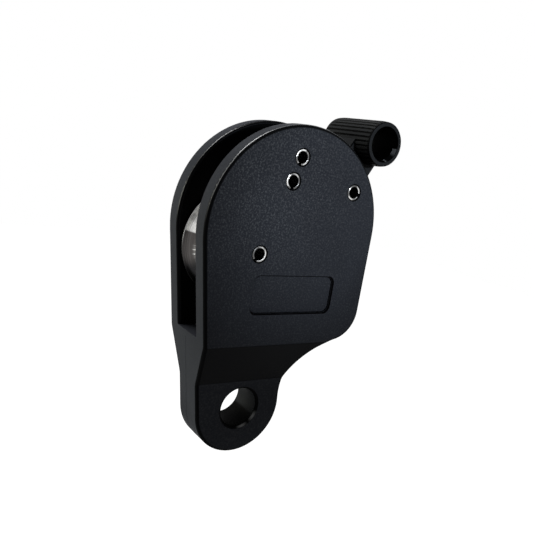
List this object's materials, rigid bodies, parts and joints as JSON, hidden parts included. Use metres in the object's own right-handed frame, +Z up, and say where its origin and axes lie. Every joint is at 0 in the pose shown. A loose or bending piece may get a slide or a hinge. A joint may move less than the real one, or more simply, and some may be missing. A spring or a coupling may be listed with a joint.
{
  "type": "halyard lock",
  "caption": "Moulded two-cheek halyard lock: rope turns round a sheave, passes a sprung toothed cam lever with a fluted handle, and the block hangs from a holed tang.",
  "frame": {"origin": "centre of the mounting hole in the tang, in the block's middle plane", "axes": "+X to the right as the front face (with the grooved frame) is seen, +Y through the thickness away from the viewer, +Z up from the tang to the head"},
  "size_m": [0.0664, 0.023, 0.1094],
  "materials": {
    "body_plastic": "black glass-filled plastic, fine spark-eroded texture on the faces, smoother rounded edges",
    "lever_plastic": "black glass-filled plastic, satin, fluted handle",
    "polished_steel": "polished stainless steel",
    "pin_steel": "bright stainless steel",
    "jaw_steel": "cast stainless steel, satin",
    "spring_steel": "drawn stainless wire",
    "bearing_plastic": "off-white acetal"
  },
  "bodies": {
    "block": {"body": "body_plastic", "sheave_axle_pin": "pin_steel", "sheave_washer_front": "bearing_plastic", "sheave_washer_rear": "bearing_plastic", "lever_pivot_pin": "pin_steel", "anvil": "jaw_steel", "anvil_pin_upper": "pin_steel", "anvil_pin_lower": "pin_steel"},
    "rope_wheel": {"sheave": "polished_steel", "sheave_bush": "bearing_plastic"},
    "cam_lever": {"lever": "lever_plastic", "lever_bush": "bearing_plastic", "lever_spring": "spring_steel", "cam_jaw": "jaw_steel", "cam_jaw_dowel": "pin_steel"}
  },
  "joints": [
    {"name": "sheave_spin", "type": "hinge", "parent": "block", "child": "rope_wheel", "pos_m": [-0.0052, 0, 0.0507], "axis": [0, 1, 0], "continuous": true},
    {"name": "lever_pivot", "type": "hinge", "parent": "block", "child": "cam_lever", "pos_m": [0.026, 0, 0.0713], "axis": [0, -1, 0], "range_deg": [0, 23], "stiffness_Nm_per_rad": 0.1, "springref_deg": -28.65, "deforming": ["lever_spring"]}
  ]
}
